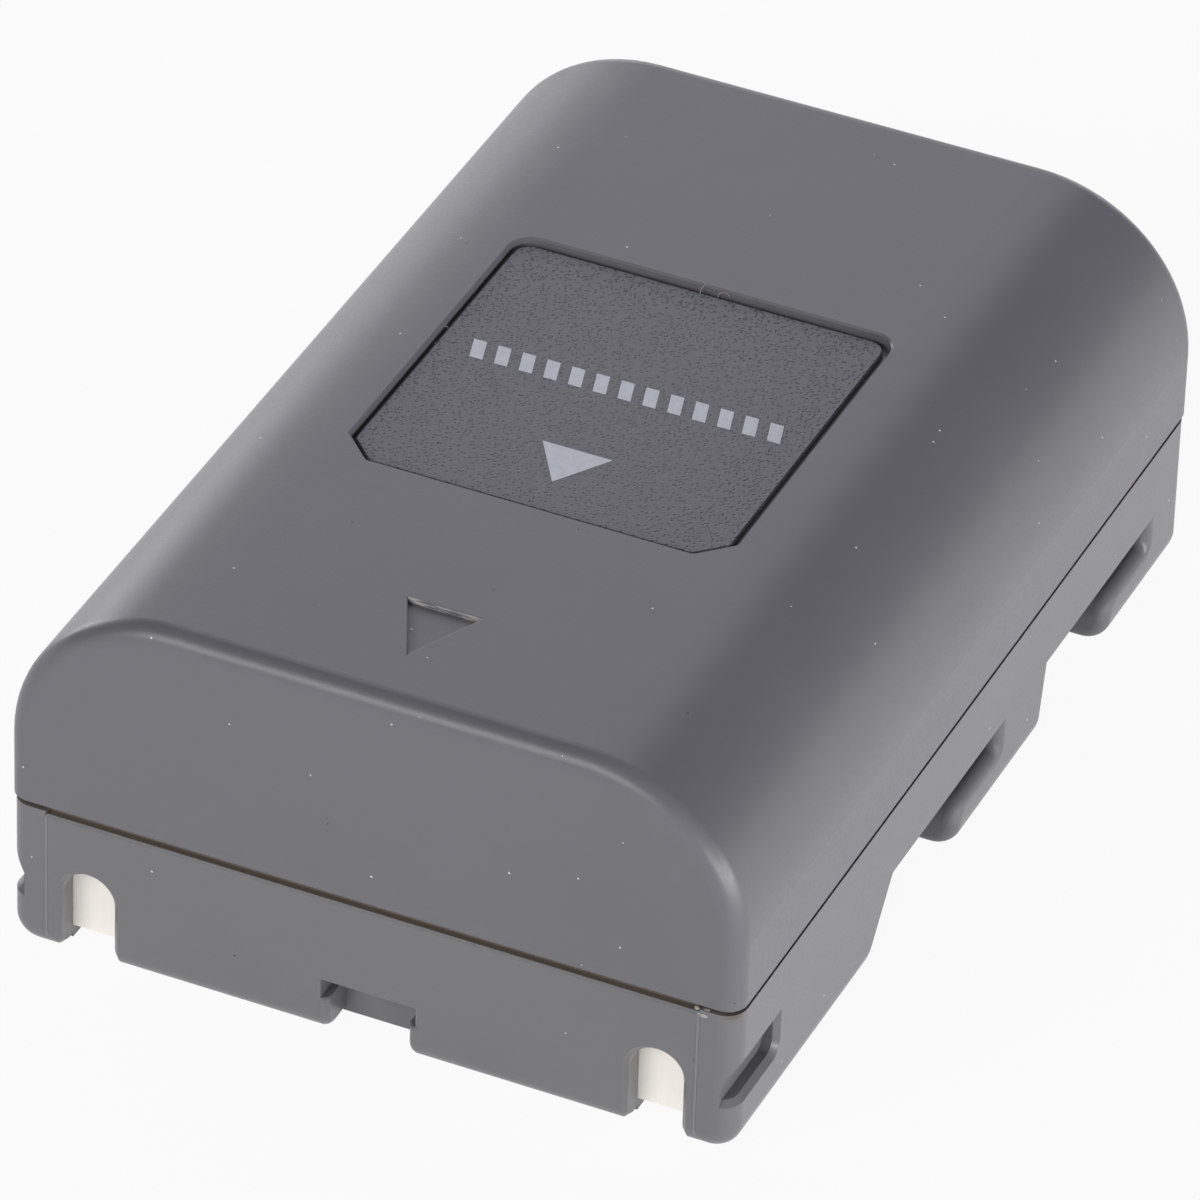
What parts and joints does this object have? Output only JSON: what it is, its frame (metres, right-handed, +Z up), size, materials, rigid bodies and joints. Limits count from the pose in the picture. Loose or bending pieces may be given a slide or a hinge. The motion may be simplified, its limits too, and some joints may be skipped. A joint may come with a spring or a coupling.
{
  "type": "camera battery",
  "caption": "Rechargeable lithium-ion camera battery: a crowned cover welded to a base with ramped latch notches, contact windows and a keying notch, with cells and protection board inside.",
  "frame": {"origin": "middle of the flat underside", "axes": "+X to the right seen from the contact end, +Y along the length from the contact end to the back, +Z up from the underside to the label"},
  "size_m": [0.038, 0.0554, 0.0206],
  "materials": {
    "shell": "fine-grained moulded grey plastic",
    "label": "textured dark grey film",
    "contact": "nickel-plated sheet",
    "cell": "shrunk sleeve",
    "paper": "pressed insulating paper",
    "nickel": "rolled nickel strip",
    "wire": "extruded insulation",
    "board": "solder mask",
    "chip": "moulded black resin",
    "capacitor": "fired ceramic"
  },
  "bodies": {
    "root": {"base_tray": "shell", "top_cover": "shell", "label_plate": "label", "contact_plate_left": "contact", "contact_plate_right": "contact", "cell_left": "cell", "cell_right": "cell", "positive_ring_left": "paper", "positive_ring_right": "paper", "front_insulator": "paper", "back_insulator": "paper", "series_strap": "nickel", "positive_tab": "nickel", "negative_tab": "nickel", "midpoint_wire": "wire", "protection_board": "board", "protection_chip": "chip", "switch_transistor": "chip", "board_resistors": "chip", "board_capacitors": "capacitor"}
  },
  "joints": []
}
